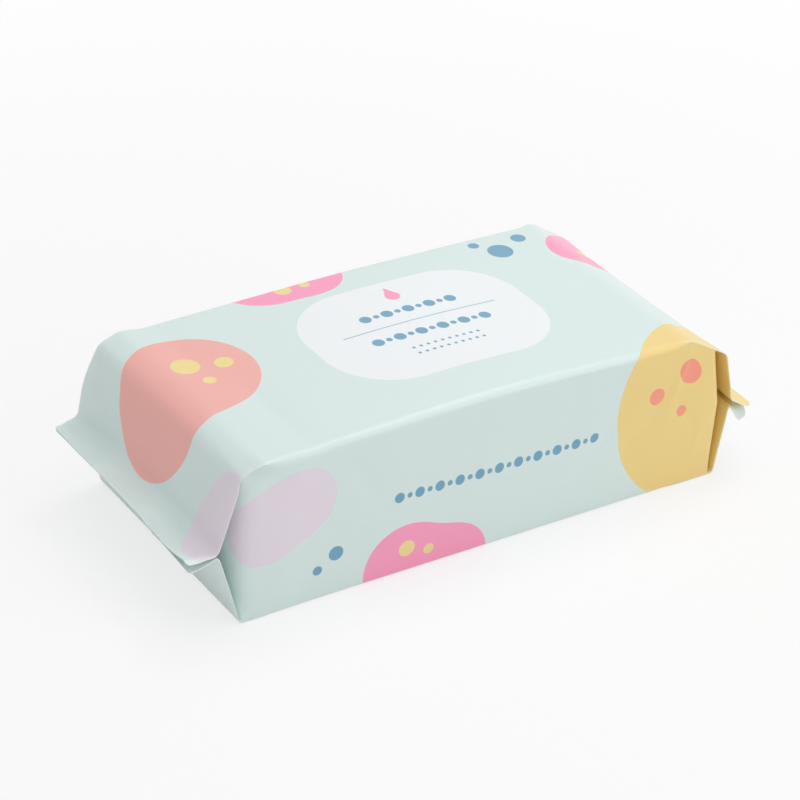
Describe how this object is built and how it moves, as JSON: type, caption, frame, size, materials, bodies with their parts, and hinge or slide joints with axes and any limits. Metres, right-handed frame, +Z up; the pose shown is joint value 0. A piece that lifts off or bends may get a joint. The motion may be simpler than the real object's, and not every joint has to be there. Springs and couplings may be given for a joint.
{
  "type": "pack of disposable face towels",
  "caption": "Sealed soft pack of folded disposable face towels: gusseted printed film round a block, with a crimped fin at each end.",
  "frame": {"origin": "middle of the flat underside, at the height of the surface that the pack lies on", "axes": "+X along the pack towards its right fin, -Y the front long side, +Z up"},
  "size_m": [0.235, 0.1032, 0.0631],
  "materials": {
    "printed_film": "satin printed film"
  },
  "bodies": {
    "root": {"towel_pack": "printed_film"}
  },
  "joints": []
}
